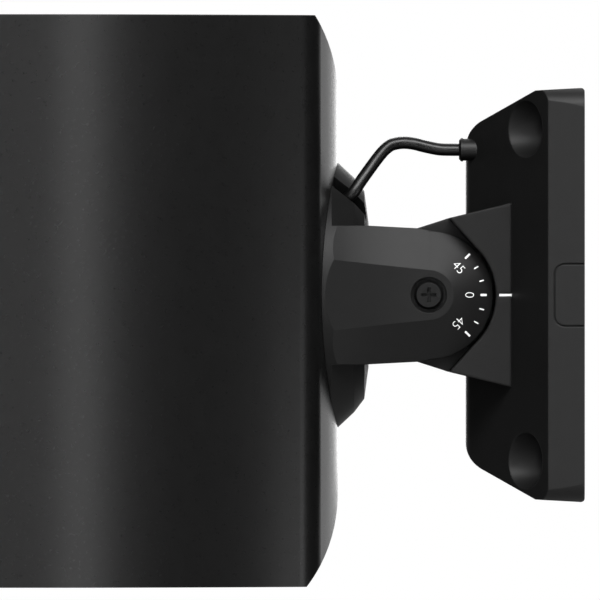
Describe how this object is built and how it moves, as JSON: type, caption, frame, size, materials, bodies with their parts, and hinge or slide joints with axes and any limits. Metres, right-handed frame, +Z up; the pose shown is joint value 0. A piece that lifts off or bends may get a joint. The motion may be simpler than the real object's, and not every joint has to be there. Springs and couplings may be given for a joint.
{
  "type": "wall speaker",
  "caption": "Black wall loudspeaker with a round rear flange on a clamped tilting bracket, angle dial, cable and sloped wall plate.",
  "frame": {"origin": "centre of the wall plate's back face, in the plane of the wall", "axes": "+X into the wall, +Z up, the grille faces -X, the tilt axis runs along Y"},
  "size_m": [0.284, 0.188, 0.2286],
  "materials": {
    "bracket_casting": "fine matte black powder coat over a die-cast body",
    "zinc_steel": "bright zinc plate",
    "black_screw": "blackened steel, slightly satin",
    "terminal_plastic": "green moulded terminal body",
    "black_rubber": "soft black rubber",
    "cable_jacket": "semi-gloss black cable jacket",
    "bush_bronze": "sintered bronze",
    "friction_disc": "hard fibre washer",
    "cabinet_plastic": "matte black moulding with a fine leather grain",
    "baffle_plastic": "plain matte black moulding",
    "grille_steel": "perforated sheet, matte black powder coat",
    "basket_steel": "pressed steel, black paint",
    "cone_paper": "coated paper cone",
    "spider_cloth": "resin-dipped corrugated cloth",
    "copper_wire": "enamelled copper winding",
    "magnet_ferrite": "ferrite ring between steel plates",
    "dome_silk": "coated silk dome",
    "circuit_board": "green solder resist",
    "capacitor_film": "blue film wrap",
    "lead_pvc": "red twin lead"
  },
  "bodies": {
    "wall_side": {"wall_plate": "bracket_casting", "yoke_screws": "zinc_steel", "terminal_block": "terminal_plastic", "cable_gland": "black_rubber", "speaker_cable": "cable_jacket", "pivot_yoke": "bracket_casting", "pivot_bush": "bush_bronze", "friction_discs": "friction_disc"},
    "speaker_side": {"bracket_arm": "bracket_casting", "clamp_screw": "black_screw", "clamp_nut": "zinc_steel", "flange_screws": "zinc_steel", "cable_grommet": "black_rubber", "cabinet_shell": "cabinet_plastic", "baffle": "baffle_plastic", "baffle_seal": "black_rubber", "baffle_screws": "zinc_steel", "grille_frame": "baffle_plastic", "grille": "grille_steel", "woofer_basket": "basket_steel", "woofer_cone": "cone_paper", "woofer_surround": "black_rubber", "dust_cap": "cone_paper", "woofer_spider": "spider_cloth", "voice_coil": "copper_wire", "woofer_magnet": "magnet_ferrite", "woofer_screws": "zinc_steel", "tweeter_plate": "baffle_plastic", "tweeter_dome": "dome_silk", "tweeter_magnet": "magnet_ferrite", "tweeter_screws": "zinc_steel", "crossover_board": "circuit_board", "crossover_coil": "copper_wire", "crossover_capacitors": "capacitor_film", "woofer_lead": "lead_pvc", "tweeter_lead": "lead_pvc"}
  },
  "joints": [
    {"name": "tilt", "type": "hinge", "parent": "wall_side", "child": "speaker_side", "pos_m": [-0.0622, 0, 0], "axis": [0, 1, 0], "range_deg": [-45, 45], "deforming": ["speaker_cable"]}
  ]
}
